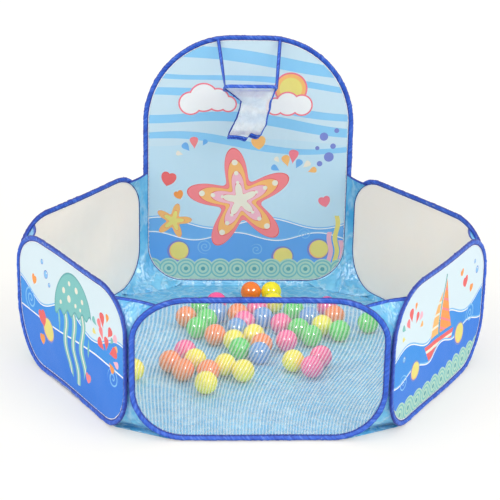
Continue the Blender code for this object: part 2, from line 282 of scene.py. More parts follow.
def rounded_loop(length, foot, top, radii, step):
    """Points (along, up) round a rounded rectangle, anticlockwise, and its length."""
    (ax, az), (bx, bz), (cx, cz), (dx, dz) = radii
    arcs = []
    for rx, rz, ox, oz, turn in (
        (bx, bz, length - bx, foot + bz, -90), (cx, cz, length - cx, top - cz, 0),
        (dx, dz, dx, top - dz, 90), (ax, az, ax, foot + az, 180),
    ):
        a = np.radians(turn + np.linspace(0, 90, ARC_POINTS))
        arcs.append(np.c_[ox + rx * np.cos(a), oz + rz * np.sin(a)])
    closed = np.vstack(arcs + [arcs[0][:1]])
    run = np.r_[0, np.cumsum(np.linalg.norm(np.diff(closed, axis=0), axis=1))]
    at = np.linspace(0, run[-1], round(run[-1] / step), endpoint=False)
    return np.c_[np.interp(at, run, closed[:, 0]), np.interp(at, run, closed[:, 1])], run[-1]


def colour(code):
    """Linear colour of a paint given as its sRGB code."""
    parts = [int(code[k:k + 2], 16) / 255 for k in (1, 3, 5)]
    return tuple(p / 12.92 if p < 0.04045 else ((p + 0.055) / 1.055) ** 2.4 for p in parts) + (1.0,)


def mixed(tree, share, below, above):
    """Output colour of one colour laid over another."""
    return add_node(tree, "Mix", {0: share, 6: below, 7: above}, data_type="RGBA").outputs[2]


def tint(tree, shader, tone):
    feed(tree, shader.inputs["Base Color"], tone)


def uv_map(tree, name):
    return add_node(tree, "UVMap", uv_map=name).outputs[0]


def split(tree, vector):
    """A vector's first two numbers."""
    x, y, _ = add_node(tree, "SeparateXYZ", (vector,)).outputs
    return Value(tree, x), Value(tree, y)


def noise_node(tree, place, scale, detail=3, stretch=(1, 1, 1)):
    """Noise at a number of waves per metre, on object coordinates, a UV map's name or a vector."""
    if place == "object":
        place = add_node(tree, "TexCoord").outputs["Object"]
    elif isinstance(place, str):
        place = uv_map(tree, place)
    mapping = add_node(tree, "Mapping", {"Vector": place, "Scale": stretch})
    node = add_node(tree, "TexNoise", {"Vector": mapping.outputs[0], "Scale": scale, "Detail": detail})
    return Value(tree, node.outputs[0])


def bump(tree, shader, height, depth, onto=None):
    """Raises the surface by a height times a depth in metres."""
    node = add_node(tree, "Bump", {"Distance": depth, "Height": height})
    if onto is not None:
        feed(tree, node.inputs["Normal"], onto)
    feed(tree, shader.inputs["Normal"], node.outputs[0])
    return node.outputs[0]


steel, tree, shader = new_material("spring_steel", 0.34)
shader.inputs["Metallic"].default_value = 1.0
drawn = noise_node(tree, "object", 900, 2)
tint(tree, shader, mixed(tree, drawn, colour("#8e939b"), colour("#b9bec6")))
bump(tree, shader, drawn, 0.00005)
for node in [f"wire_{wall}" for wall in WALLS] + ["hoop_wire"]:
    frame["nodes"][node].data.materials.clear()
    frame["nodes"][node].data.materials.append(steel)


# Binding sleeves: royal-blue woven tape folded round each wire and stitched shut on the
# cloth's edge. It puckers on the slant, because the tape is sewn straight and bent after.
SLEEVE_STEP = 0.0032
TUBE = 0.0048           # wire's middle, in from the sleeve's outer edge
# Half of the folded tape's section, from its nose to its lip: (in from the edge, out)
SLEEVE_FACE = ((0.0000, 0.0000), (0.0006, 0.0026), (0.0024, 0.0043), (0.0048, 0.0048), (0.0070, 0.0042),
               (0.0088, 0.0029), (0.0104, 0.0020), (0.0124, 0.0017), (0.0140, 0.0015))
SLEEVE_BACK = ((0.0010, 0.0000), (0.0015, 0.0022), (0.0029, 0.0034), (0.0048, 0.0038), (0.0065, 0.0033),
               (0.0081, 0.0022), (0.0101, 0.0010), (0.0124, 0.0007), (0.0140, 0.0006))
STITCH_IN = 0.0122
TAPE_LOW = 0.0004       # no tape lies under this
PUCKER = 0.00055
PUCKER_LONG, GATHER_LONG = 0.0042, 0.030    # how fast the puckers and the slower gathers change along
PUCKER_SLANT = 0.0021   # each pucker's shift along, from one point of the section to the next
SEWN_SHARE = 0.35       # what the stitches leave of a pucker
RIB, STITCH = 2 * math.pi / 0.0016, 2 * math.pi / 0.0034


def flat_curve(name, points):
    data = bpy.data.curves.new(name, "CURVE")
    data.dimensions = "2D"
    data.fill_mode = "NONE"
    spline = data.splines.new("POLY")
    spline.points.add(len(points) - 1)
    for point, (x, y) in zip(spline.points, points):
        point.co = (x, y, 0, 1)
    spline.use_cyclic_u = True
    obj = bpy.data.objects.new(name, data)
    bpy.context.scene.collection.objects.link(obj)
    return obj


def only(obj):
    """Selects one object and makes it active."""
    bpy.ops.object.select_all(action="DESELECT")
    obj.select_set(True)
    bpy.context.view_layer.objects.active = obj


@contextmanager
def editing(obj):
    """The mesh operators, working on one object."""
    only(obj)
    bpy.ops.object.mode_set(mode="EDIT")
    yield bpy.ops.mesh
    bpy.ops.object.mode_set(mode="OBJECT")


def coordinates(mesh):
    co = np.empty(len(mesh.vertices) * 3)
    mesh.vertices.foreach_get("co", co)
    return co.reshape(-1, 3)


def set_coordinates(mesh, co):
    mesh.vertices.foreach_set("co", np.ascontiguousarray(co, dtype=np.float32).ravel())
    mesh.update()


def smooth_all(obj):
    obj.data.polygons.foreach_set("use_smooth", [True] * len(obj.data.polygons))


def wandering(count, step, reach, seed):
    """A smooth random line round a loop, about 1 high, that changes over a reach in metres."""
    rng = np.random.default_rng(seed)
    waves = np.fft.rfftfreq(count, step)
    spectrum = np.fft.rfft(rng.normal(size=count)) * np.exp(-(waves * reach) ** 2)
    line = np.fft.irfft(spectrum, count)
    return line / line.std()


def sleeve(name, loop, length, scale, pucker, seed):
    """A tape folded round a loop of wire, still flat on the cutting table."""
    face, back = ([Vector(p) * scale for p in half] for half in (SLEEVE_FACE, SLEEVE_BACK))
    # The section runs over the face from lip to lip and returns along the back
    section = [(p, k, 1) for k, p in reversed(list(enumerate(face)))]
    section += [(p, k, -1) for k, p in enumerate(face)][1:]
    section += [(p, k, -1) for k, p in reversed(list(enumerate(back)))]
    section += [(p, k, 1) for k, p in enumerate(back)][1:]
    corners = [Vector((p.x, p.y * side)) for p, k, side in section]
    guide = flat_curve("fold_of_" + name, corners)
    obj = flat_curve(name, loop)
    obj.data.bevel_mode = "OBJECT"
    obj.data.bevel_object = guide
    only(obj)
    bpy.ops.object.convert(target="MESH")
    bpy.data.objects.remove(guide, do_unlink=True)
    with editing(obj) as mesh_tools:
        mesh_tools.select_all(action="SELECT")
        mesh_tools.normals_make_consistent(inside=False)
    mesh = obj.data
    around = len(section)
    rings = len(mesh.vertices) // around
    step = length / rings
    co = coordinates(mesh).reshape(rings, around, 3)
    inward = co[:, 0] - co[:, len(face) - 1]
    inward[:, 2] = 0
    inward /= np.linalg.norm(inward, axis=1)[:, None]
    # Slanting puckers: the same random line, shifted further along towards the lip
    slant = wandering(rings, step, PUCKER_LONG, seed)
    gathers = wandering(rings, step, GATHER_LONG, seed + 1)
    place = np.arange(rings, dtype=float)
    for j, (p, k, side) in enumerate(section):
        shifted = np.interp((place + side * PUCKER_SLANT * k / step) % rings, np.arange(rings + 1),
                            np.r_[slant, slant[:1]])
        ripple = pucker * (shifted * (0.65 + 0.35 * np.tanh(gathers)) + 0.25 * gathers)
        away = (corners[j] - Vector((TUBE * scale, 0))).normalized()
        ripple *= SEWN_SHARE if k >= len(face) - 2 else 1.0
        co[:, j] += inward * (ripple * away.x)[:, None]
        co[:, j, 2] += ripple * away.y
    set_coordinates(mesh, co)
    # Its UV map runs along the tape and over the fold, in metres
    run = np.cumsum([0] + [(corners[(k + 1) % around] - corners[k]).length for k in range(around)])
    layer = mesh.uv_layers[0]
    uv = np.empty(len(layer.data) * 2, np.float32)
    layer.data.foreach_get("uv", uv)
    uv = uv.reshape(-1, 2)
    uv = np.c_[uv[:, 0] * length, run[np.rint(uv[:, 1] * around).astype(int)]]
    layer.data.foreach_set("uv", uv.ravel())
    layer.name = "tape"
    smooth_all(obj)
    return obj


def tape_cloth(name, folds, seams=()):
    """Ribbed royal-blue tape with painted shade at its folds and in its puckers' creases, painted highlights on
    their crests, and a row of stitches at each seam.
    """
    mat, tree, shader = new_material(name, 0.60, sheen=0.15, specular=0.25)
    along, over = split(tree, uv_map(tree, "tape"))
    twill, crossing = ((along + over) * RIB).sine(), ((along - over) * (RIB / 2)).sine()
    fine = noise_node(tree, "tape", 420)
    tone = mixed(tree, noise_node(tree, "object", 55, 4), colour("#0c49c6"), colour("#2a6fe0"))
    tone = mixed(tree, fine * 0.22, tone, colour("#12389f"))
    # Sewn straight and bent after, it creases on the slant; painted shade darkens the creases' valleys and a
    # painted highlight lightens their crests
    slant = add_node(tree, "CombineXYZ", (over * 0.8 + along, over * 0.22))
    pucker = noise_node(tree, slant.outputs[0], 115, 2)
    for level, slope, share, code in ((0.47, -9.0, 0.55, "#0d2f9b"), (0.54, 9.0, 0.34, "#7ba4f6")):
        tone = mixed(tree, ((pucker - level) * slope).clamped() * share, tone, colour(code))
    # Painted shade: the tape darkens towards its folds, at the nose of the folded section and at both lips
    for place, reach in folds:
        off = (over - place).by("ABSOLUTE")
        tone = mixed(tree, (1.6 - off * (1.6 / reach)).clamped() * 0.85, tone, colour("#07218c"))
    height = twill * 0.35 + crossing * 0.2 + fine + pucker * 5.0
    for place in seams:
        row = over.near(place, 0.0005)
        tone = mixed(tree, row * ((along * STITCH).sine() > -0.25), tone, colour("#0c2487"))
        height = height - row * 1.6
    tint(tree, shader, tone)
    bump(tree, shader, height, 0.00022)
    return mat


face_run = [0.0]
for a, b in zip(SLEEVE_FACE, SLEEVE_FACE[1:]):
    face_run.append(face_run[-1] + math.dist(a, b))
seam_run = float(np.interp(STITCH_IN, [p[0] for p in SLEEVE_FACE], face_run))
lip = face_run[-1]
# Where painted shade darkens the binding: its nose and its two lips
binding = tape_cloth("binding_tape", ((0, 0.0036), (lip, 0.0056), (2 * lip, 0.0036)),
                     (lip - seam_run, lip + seam_run))
narrow_tape = tape_cloth("narrow_tape", ((0, 0.0024), (0.0090, 0.0024)))

for number, wall in enumerate(WALLS):
    loop, length = rounded_loop(SPAN, FOOT, top_of(wall), RADII[wall], SLEEVE_STEP)
    tape = sleeve(f"sleeve_{wall}", loop, length, 1.0, PUCKER, 11 + 7 * number)
    co = coordinates(tape.data)
    co[:, 2] += bowed(wall, co[:, 0], co[:, 1])
    set_coordinates(tape.data, co)
    tape.data.transform(wall_frame(wall))
    co = coordinates(tape.data)
    co[:, 2] = np.maximum(co[:, 2], TAPE_LOW)
    set_coordinates(tape.data, co)
    tape.data.materials.append(binding)
    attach(tape, wall)
    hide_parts(f"binding_{wall}")


# Wall cloths: polyester panels held flat in the loops, their edges caught in the sleeves.
# The printed side faces out, but on the tall board it faces the pit; the backs are off-white.
PANEL_IN = 0.0090
CLOTH = 0.0006
CELL = 0.0050
OUTLINE_STEP = 0.0080
MARGIN = 0.0078         # width of the unprinted edge, most of it under the sleeve
ROUNDED_SHARE = 0.93    # what the rounded corners leave of a panel's rectangle
LONG_FOLD, SMALL_FOLD = 0.0042, 0.0010      # how far the tension folds stand out
THREAD = 2 * math.pi / 0.0011


def inside(points, ring):
    """Whether each point lies inside a closed outline."""
    x, y = points[:, 0], points[:, 1]
    hit = np.zeros(len(points), bool)
    for (x0, y0), (x1, y1) in zip(np.roll(ring, 1, axis=0), ring):
        if y0 == y1:
            continue
        hit ^= ((y0 > y) != (y1 > y)) & (x < x0 + (y - y0) / (y1 - y0) * (x1 - x0))
    return hit


def inset_loop(loop, depth):
    tangent = np.roll(loop, -1, axis=0) - np.roll(loop, 1, axis=0)
    tangent /= np.linalg.norm(tangent, axis=1)[:, None]
    return loop + np.c_[-tangent[:, 1], tangent[:, 0]] * depth


def grid(name, across, rows, size=(1, 1), middle=(0, 0)):
    """A flat grid of cells on the cutting table."""
    bpy.ops.mesh.primitive_grid_add(x_subdivisions=across, y_subdivisions=rows, size=1)
    obj = bpy.context.object
    obj.name = obj.data.name = name
    obj.scale = (size[0], size[1], 1)
    obj.location = (middle[0], middle[1], 0)
    bpy.ops.object.transform_apply(location=True, rotation=False, scale=True)
    return obj


def open_edge(obj):
    """Which vertices lie on a sheet's open edge."""
    with editing(obj) as mesh_tools:
        mesh_tools.select_all(action="DESELECT")
        mesh_tools.select_non_manifold(extend=False)
    edge = np.empty(len(obj.data.vertices), bool)
    obj.data.vertices.foreach_get("select", edge)
    return edge


def cut_cloth(name, ring, cell):
    """A sheet cut to an outline: a grid without what lies outside, its edge drawn to the line."""
    low, high = ring.min(axis=0), ring.max(axis=0)
    size = high - low
    obj = grid(name, round(size[0] / cell), round(size[1] / cell), size, (low + high) / 2)
    mesh = obj.data
    with editing(obj) as mesh_tools:
        mesh_tools.select_mode(type="VERT")
        mesh_tools.select_all(action="DESELECT")
    mesh.vertices.foreach_set("select", ~inside(coordinates(mesh)[:, :2], ring))
    with editing(obj) as mesh_tools:
        mesh_tools.delete(type="VERT")
    edge = open_edge(obj)
    co = coordinates(mesh)
    starts = np.roll(ring, 1, axis=0)
    runs = ring - starts
    for k in np.flatnonzero(edge):
        share = ((co[k, :2] - starts) * runs).sum(axis=1) / (runs ** 2).sum(axis=1)
        nearest = starts + np.clip(share, 0, 1)[:, None] * runs
        co[k, :2] = nearest[np.argmin(((nearest - co[k, :2]) ** 2).sum(axis=1))]
    set_coordinates(mesh, co)
    return obj


def lay_plan(mesh, x, y, name="plan"):
    """Keeps a flat plan in metres as the UV map that prints and weaves follow."""
    layer = mesh.uv_layers[0]
    layer.name = name
    corners_of = np.empty(len(mesh.loops), np.int32)
    mesh.loops.foreach_get("vertex_index", corners_of)
    layer.data.foreach_set("uv", np.c_[x[corners_of], y[corners_of]].astype(np.float32).ravel())


def rolling(points, scale, seed, shift=(1.9, 4.3, 0.7)):
    shift = Vector([seed * s for s in shift])
    return np.array([noise.noise(Vector(p) * scale + shift) for p in points])


def ridged(points, scale, seed):
    """Creases about 1 high: sharp crests where the noise changes sign."""
    return 1 - 2 * np.abs(rolling(points, scale, seed, (3.7, 1.3, 2.1)))


def apply_modifier(obj, kind, **settings):
    only(obj)
    modifier = obj.modifiers.new(kind, kind)
    for name, value in settings.items():
        setattr(modifier, name, value)
    bpy.ops.object.modifier_apply(modifier=modifier.name)
    smooth_all(obj)


def thicken(obj, thickness, other_side=0):
    """Gives a sheet its thickness; the side it grows on takes the material other_side."""
    apply_modifier(obj, "SOLIDIFY", thickness=thickness, offset=0.0, material_offset=other_side)


def wall_cloth(name, wall):
    """The wall's cloth in the wall's own (along, up, out), with slight tension folds."""
    loop, _ = rounded_loop(SPAN, FOOT, top_of(wall), RADII[wall], OUTLINE_STEP)
    ring = inset_loop(loop, PANEL_IN)
    obj = cut_cloth(name, ring, CELL)
    co = coordinates(obj.data)
    lay_plan(obj.data, co[:, 0] - SPAN / 2, co[:, 1])
    margin = np.min([np.hypot(co[:, 0] - x, co[:, 1] - y) for x, y in ring], axis=0)
    rim = obj.data.attributes.new("rim", "FLOAT", "POINT")
    rim.data.foreach_set("value", margin.astype(np.float32))
    u, v = co[:, 0] / SPAN, co[:, 1] / top_of(wall)
    slack = np.clip(16 * u * (1 - u) * v * (1 - v), 0, 1)
    seed = 3 + list(WALLS).index(wall)
    folds = LONG_FOLD * rolling(co * (1, 0.35, 1), 9, seed) + SMALL_FOLD * rolling(co, 26, seed + 20)
    co[:, 2] = bowed(wall, co[:, 0], co[:, 1]) + slack * folds
    set_coordinates(obj.data, co)
    return obj


def fit_wall(cloth, wall):
    """Puts a wall's cloth into its hoop."""
    cloth.data.transform(wall_frame(wall))
    wide, high = SPAN - 2 * PANEL_IN, top_of(wall) - FOOT - 2 * PANEL_IN
    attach(cloth, wall)
    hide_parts(f"panel_{wall}")
    wide * high * ROUNDED_SHARE


def drop(x, y):
    """x squared is under (1 + y)(2 - y) cubed, scaled to a half width of 1."""
    point = 2.0 - y
    return x * x < (y + 1.0) * (point * point * point) * 0.117


def heart(x, y):
    """(x2 + y2 - 1) cubed is under x2 times y3."""
    rim = x * x + y * y - 1.0
    return rim * rim * rim < (x * x) * (y * y * y)


def shape_group(formula):
    """Node group that says whether a point is inside a shape one unit in size."""
    group = bpy.data.node_groups.new(formula.__name__, "ShaderNodeTree")
    group.interface.new_socket("Plan", in_out="INPUT", socket_type="NodeSocketVector")
    group.interface.new_socket("Inside", in_out="OUTPUT", socket_type="NodeSocketFloat")
    start, end = group.nodes.new("NodeGroupInput"), group.nodes.new("NodeGroupOutput")
    feed(group, end.inputs[0], formula(*split(group, start.outputs[0])))
    return group


SHAPES = {"drop": shape_group(drop), "heart": shape_group(heart)}
PAINT = {name: colour(code) for name, code in {
    "sky": "#cbe5f2", "mist": "#d9ecf4", "haze": "#c2e3f3", "stripe": "#87cdf6", "sea": "#2490e8",
    "deep": "#1c7ae2", "lagoon": "#56a5ee", "crest": "#7cc0f2", "white": "#f7f8f8", "mint": "#b7dbc6",
    "teal": "#79c3c0", "dusk": "#5aa9ac", "coral": "#fb8489", "rose": "#f47a8b", "orange": "#fcbd6a",
    "amber": "#fb9b3f", "pink": "#f8b9c9", "cream": "#f0ebd8", "yellow": "#efe077", "violet": "#7383d2",
    "azure": "#66b0ee", "red": "#f0605f",
}.items()}


class Sketch:
    """Draws flat shapes over one another on a cloth's plan, in metres."""

    def __init__(self, tree, ground, mirrored=False):
        self.tree, self.colour = tree, ground
        turned = {"Vector": uv_map(tree, "plan"), "Scale": (-1 if mirrored else 1, 1, 1)}
        self.plan = add_node(tree, "Mapping", turned).outputs[0]
        self.x, self.y = split(tree, self.plan)

    def at(self, x, y, size, turn=0):
        """The plan seen from a shape's own middle, in its own size."""
        inputs = (self.plan, (x, y, 0), (0, 0, math.radians(turn)), (size, size, 1))
        return add_node(self.tree, "Mapping", inputs, vector_type="TEXTURE").outputs[0]

    def over(self, mask, paint):
        self.colour = mixed(self.tree, mask, self.colour, PAINT[paint])

    def below(self, level, swell=0.0, span=1.0, phase=0.0, tilt=0.0):
        """Under a wavy line."""
        line = (self.x * (2 * math.pi / span) + phase).sine() * swell + level
        return self.y < (line + self.x * tilt if tilt else line)

    def band(self, level, width, swell, span, phase, tilt):
        """Between two wavy lines."""
        high = self.below(level + width / 2, swell, span, phase, tilt)
        low = self.below(level - width / 2, swell * 0.86, span, phase + 0.25, tilt)
        return high * (1.0 - low)

    def disc(self, x, y, size, paint):
        node = add_node(self.tree, "VectorMath", (self.at(x, y, size),), operation="LENGTH")
        self.over(Value(self.tree, node.outputs["Value"]) < 1.0, paint)

    def shape(self, kind, x, y, size, paint, turn):
        """A drop or a heart."""
        node = add_node(self.tree, "Group", (self.at(x, y, size, turn),), node_tree=SHAPES[kind])
        self.over(node.outputs[0], paint)

    def bubble(self, x, y, size):
        self.disc(x, y, size, "violet")
        self.disc(x, y, size * 0.82, "crest")
        self.disc(x + size * 0.3, y + size * 0.35, size * 0.2, "white")

    def dot(self, x, y, size):
        """A yellow disc with an orange shade in a violet rim."""
        self.disc(x - 0.05 * size, y, size * 1.17, "violet")
        self.disc(x, y, size, "orange")
        self.disc(x + 0.05 * size, y + 0.06 * size, size * 0.93, "yellow")

    def scallops(self, level, radius, pitch, shift=0.0):
        """A row of round shell-pattern waves with rings, in mint."""
        cell = (self.x + shift).by("WRAP", pitch, 0.0) - pitch / 2
        down = self.y - level
        reach = (cell * cell + down * down).root()
        self.over(self.below(level + radius * 0.35), "mint")
        self.over(reach < radius, "mint")
        for share in (0.80, 0.48):
            self.over(reach.near(radius * share, radius * 0.07), "teal")
        self.over(reach < radius * 0.20, "dusk")

    def crests(self, level, swell, span, phase, paint):
        """A wave with a white outline."""
        for rise, tone in ((0.0055, "crest"), (0.0018, "white"), (-0.0012, paint)):
            self.over(self.below(level + rise, swell, span, phase), tone)

    def curl(self, x, y, size, turns=2.2):
        """A spiral line, as on the crest of a wave."""
        px, py = split(self.tree, self.at(x, y, size))
        reach = (px * px + py * py).root()
        angle = py.by("ARCTAN2", px) * (0.5 / math.pi)
        wound = (reach * turns - angle + 4.0).by("FRACT")
        self.over(wound.near(0.5, 0.15) * (reach < 1.0), "crest")

    def starfish(self, x, y, size, turn, rings):
        """A five-armed star in bands from its rim to its middle."""
        px, py = split(self.tree, self.at(x, y, size, turn))
        arms = (px.by("ARCTAN2", py) * 5.0).by("COSINE")
        limit = (arms * 0.5 + 0.5).by("POWER", 1.25) * 0.60 + 0.40
        share = (px * px + py * py).root().by("DIVIDE", limit)
        for edge, paint in rings:
            self.over(share < edge + 0.022, "red")
            self.over(share < edge, paint)

    def fan(self, x, y, reach, start, stop, drops):
        """Drops that fly out from a point; each has a paint, a size and a share of the reach."""
        for k, (paint, size, share) in enumerate(drops):
            turn = start + (stop - start) * k / (len(drops) - 1)
            a = math.radians(turn)
            self.shape("drop", x + reach * share * math.cos(a), y + reach * share * math.sin(a), size,
                       paint, turn + 90)


def board_print(sketch):
    """Sky in wavy stripes, clouds and a sun, a banded starfish over the sea, round waves."""
    sketch.over(sketch.below(0.43, 0.012, 0.7, 1.0), "haze")
    for level, width, swell, phase, tilt in (
        (0.672, 0.034, 0.010, 2.1, -0.10), (0.612, 0.016, 0.009, 0.9, -0.08),
        (0.548, 0.024, 0.012, 2.6, -0.12), (0.492, 0.028, 0.014, 1.7, -0.06),
        (0.428, 0.020, 0.016, 3.3, -0.05),
    ):
        sketch.over(sketch.band(level, width, swell, 0.62, phase, tilt), "stripe")
    # Sun and clouds
    for size, paint in ((0.047, "rose"), (0.042, "orange"), (0.032, "yellow")):
        sketch.disc(0.118, 0.590, size, paint)
    for grown, paint in ((0.0045, "rose"), (0.0, "white")):
        for x, y, size in ((-0.165, 0.545, 0.030), (-0.128, 0.562, 0.038), (-0.088, 0.556, 0.030),
                           (-0.058, 0.544, 0.020), (0.075, 0.538, 0.022), (0.110, 0.546, 0.031),
                           (0.150, 0.543, 0.027)):
            sketch.disc(x, y, size + grown, paint)
    # Sea
    sketch.crests(0.190, 0.016, 0.31, 0.4, "azure")
    sketch.crests(0.150, 0.012, 0.24, 2.4, "lagoon")
    for curl in ((-0.120, 0.118, 0.022, 2.2), (0.030, 0.110, 0.018, 1.8), (0.170, 0.158, 0.019, 2.0)):
        sketch.curl(*curl)
    for x, y in ((0.212, 0.112), (-0.196, 0.104), (0.108, 0.088)):
        sketch.dot(x, y, 0.028)
    # Weed on the right
    sway = (sketch.y * 74.0).sine() * 0.0035
    for x, reach, paint in ((0.262, 0.215, "yellow"), (0.244, 0.165, "pink"), (0.278, 0.140, "pink")):
        sketch.over(sketch.x.near(sway + x, 0.0068) * sketch.below(reach), paint)
    sketch.scallops(0.050, 0.032, 0.050)
    # The large starfish with spots along its arms, and its small one
    x, y, turn = -0.020, 0.262, 9
    sketch.starfish(x, y, 0.152, turn, ((1.0, "coral"), (0.78, "orange"), (0.55, "pink"), (0.33, "cream")))
    for a in np.radians(90 + turn + 72 * np.arange(5)).tolist():
        for reach, size in ((0.112, 0.0085), (0.080, 0.0065), (0.052, 0.0048)):
            sketch.disc(x + reach * math.cos(a), y + reach * math.sin(a), size, "cream")
    sketch.starfish(-0.212, 0.196, 0.052, -14, ((1.0, "orange"), (0.6, "yellow")))
    # Splashes, hearts and bubbles
    sketch.fan(0.125, 0.330, 0.062, 150, 20, (
        ("azure", 0.009, 0.9), ("cream", 0.007, 1.1), ("orange", 0.012, 0.9), ("rose", 0.014, 1.1),
        ("azure", 0.010, 0.8), ("cream", 0.009, 1.0), ("orange", 0.009, 1.1)))
    sketch.fan(-0.150, 0.385, 0.050, 165, 60, (
        ("cream", 0.007, 1.0), ("azure", 0.010, 0.9), ("coral", 0.012, 1.0), ("azure", 0.007, 1.1)))
    for heart in ((-0.228, 0.318, 0.019, "red", -14), (-0.196, 0.272, 0.012, "amber", 20),
                  (0.030, 0.428, 0.018, "orange", 6), (0.225, 0.255, 0.015, "rose", 16)):
        sketch.shape("heart", *heart)
    for x, y, size in ((0.216, 0.452, 0.012), (0.243, 0.424, 0.008), (0.198, 0.418, 0.006),
                       (0.232, 0.392, 0.014), (0.252, 0.470, 0.007), (0.206, 0.372, 0.008)):
        sketch.disc(x, y, size, "violet")


def jelly_print(sketch):
    """A teal jellyfish between sky and sea, with a splash, hearts and bubbles."""
    sketch.crests(0.205, 0.020, 0.28, 1.9, "sea")
    sketch.over(sketch.below(0.152, 0.006, 0.6, 0.4), "white")
    sketch.over(sketch.below(0.148, 0.006, 0.6, 0.4), "deep")
    sketch.curl(-0.222, 0.178, 0.034)
    sketch.curl(0.232, 0.128, 0.026, 1.9)
    sketch.dot(-0.118, 0.128, 0.030)
    # Arms in wavy lanes, under a round bell with a frill and spots
    x, y, bell, lean = 0.020, 0.222, 0.092, 10
    px, py = split(sketch.tree, sketch.at(x, y, bell, lean))
    lanes = ((py * 5.0).sine() * 0.16 + px * 2.1 + 40.5).by("FRACT")
    square = px * px
    hanging = (py > square * 1.5 - 2.0) * (py < 0.1) * (square < 0.72)
    sketch.over(lanes.near(0.5, 0.27) * hanging, "teal")
    sketch.over(lanes.near(0.5, 0.07) * hanging, "cream")
    reach = (square + py * py).root()
    frill = (px * 15.0).sine() * 0.07 - 0.10
    sketch.over((reach < 1.045) * (py > frill), "dusk")
    sketch.over((reach < 1.0) * (py > frill + 0.05), "teal")
    for u, v, size in ((-0.48, 0.52, 0.085), (-0.12, 0.74, 0.07), (0.28, 0.60, 0.09), (0.58, 0.34, 0.07),
                       (-0.68, 0.18, 0.06), (-0.20, 0.32, 0.10), (0.16, 0.18, 0.06), (0.42, 0.10, 0.05)):
        spot = Matrix.Rotation(math.radians(lean), 2) @ Vector((u, v)) * bell
        sketch.disc(x + spot.x, y + spot.y, bell * size, "cream")
    sketch.fan(0.188, 0.196, 0.060, 165, 10, (
        ("yellow", 0.007, 1.0), ("teal", 0.009, 1.2), ("coral", 0.011, 0.9), ("red", 0.013, 1.1),
        ("amber", 0.008, 1.3), ("red", 0.011, 0.9), ("pink", 0.010, 1.1), ("orange", 0.008, 1.0)))
    sketch.fan(0.196, 0.176, 0.046, 150, -40, (
        ("red", 0.013, 0.8), ("coral", 0.011, 1.2), ("red", 0.012, 0.7), ("teal", 0.007, 1.2),
        ("red", 0.014, 1.0), ("pink", 0.009, 1.2), ("amber", 0.010, 0.9)))
    for heart in ((-0.150, 0.146, 0.020, "red", 18), (-0.196, 0.236, 0.012, "amber", -16),
                  (-0.160, 0.086, 0.013, "amber", 10), (0.108, 0.080, 0.012, "coral", -8)):
        sketch.shape("heart", *heart)
    for bubble in ((-0.128, 0.272, 0.011), (-0.152, 0.298, 0.007), (-0.108, 0.250, 0.006)):
        sketch.bubble(*bubble)


def boat_print(sketch):
    """An orange sailing boat on the sea above round mint waves, with a splash and bubbles."""
    sketch.crests(0.188, 0.018, 0.26, 0.5, "sea")
    px, py = split(sketch.tree, sketch.at(-0.004, 0.150, 0.104, -5))
    hull = (px.by("ABSOLUTE") < py * 0.75 + 0.98) * (py < 0.06) * (py > -0.50)
    main_sail = (px > 0.07) * (py > 0.15) * (px * 1.78 + py < 1.62)
    jib = (px < -0.03) * (py > 0.15) * (py - px * 1.95 < 1.30)
    sketch.over(hull, "red")
    sketch.over(hull * py.near(-0.08, 0.035), "cream")
    sketch.over(px.near(0.02, 0.028) * (py < 1.62) * (py > 0.05), "dusk")
    sketch.over(main_sail, "amber")
    sketch.over(jib, "orange")
    sketch.over(main_sail * ((py * 26.0 + px * 9.0).sine() > 0.72), "coral")
    sketch.over(jib * ((py * 22.0).sine() > 0.80), "cream")
    sketch.crests(0.128, 0.010, 0.18, 1.2, "deep")
    sketch.curl(0.205, 0.150, 0.028, 2.0)
    sketch.curl(-0.232, 0.118, 0.022, 1.8)
    sketch.dot(0.140, 0.118, 0.026)
    sketch.dot(-0.165, 0.128, 0.022)
    sketch.scallops(0.040, 0.031, 0.050, 0.013)
    sketch.fan(-0.180, 0.216, 0.060, 165, 15, (
        ("yellow", 0.006, 1.0), ("teal", 0.008, 1.2), ("coral", 0.010, 0.9), ("red", 0.012, 1.1),
        ("amber", 0.007, 1.3), ("red", 0.010, 0.9), ("pink", 0.009, 1.1), ("orange", 0.007, 1.0)))
    for heart in ((0.150, 0.252, 0.014, "red", 14), (0.196, 0.222, 0.010, "amber", -12),
                  (0.120, 0.286, 0.009, "amber", 24)):
        sketch.shape("heart", *heart)
    for bubble in ((0.232, 0.262, 0.010), (0.212, 0.290, 0.006), (-0.232, 0.180, 0.008)):
        sketch.bubble(*bubble)


def white_edge(tree, tone):
    """The cloth's unprinted edge."""
    rim = add_node(tree, "Attribute", attribute_name="rim").outputs["Fac"]
    return mixed(tree, reckon(tree, "LESS_THAN", rim, MARGIN), tone, WHITE)


def woven(tree, shader, depth):
    """Fine plain weave with faint creases."""
    across, up = split(tree, uv_map(tree, "plan"))
    cloth = bump(tree, shader, (across * THREAD).sine() * (up * THREAD).sine(), depth)
    bump(tree, shader, noise_node(tree, "plan", 16, 5, (1, 0.4, 1)), 0.0030, cloth)


def printed_cloth(name, ground, draw, mirrored=False):
    mat, tree, shader = new_material(name, 0.78, sheen=0.06, specular=0.15)
    sketch = Sketch(tree, PAINT[ground], mirrored)
    draw(sketch)
    tone = mixed(tree, noise_node(tree, "plan", 7, 4) * 0.08, sketch.colour, WHITE)
    tint(tree, shader, white_edge(tree, tone))
    woven(tree, shader, 0.00012)
    return mat


board_cloth = printed_cloth("board_print", "sky", board_print, mirrored=True)
jelly_cloth = printed_cloth("jellyfish_print", "mist", jelly_print)
boat_cloth = printed_cloth("boat_print", "mist", boat_print)
reverse_cloth, tree, shader = new_material("reverse_side", 0.82, sheen=0.1, specular=0.2)
tone = mixed(tree, noise_node(tree, "plan", 5, 4), colour("#fff1e1"), colour("#fff7ec"))
tint(tree, shader, white_edge(tree, tone))
woven(tree, shader, 0.00008)

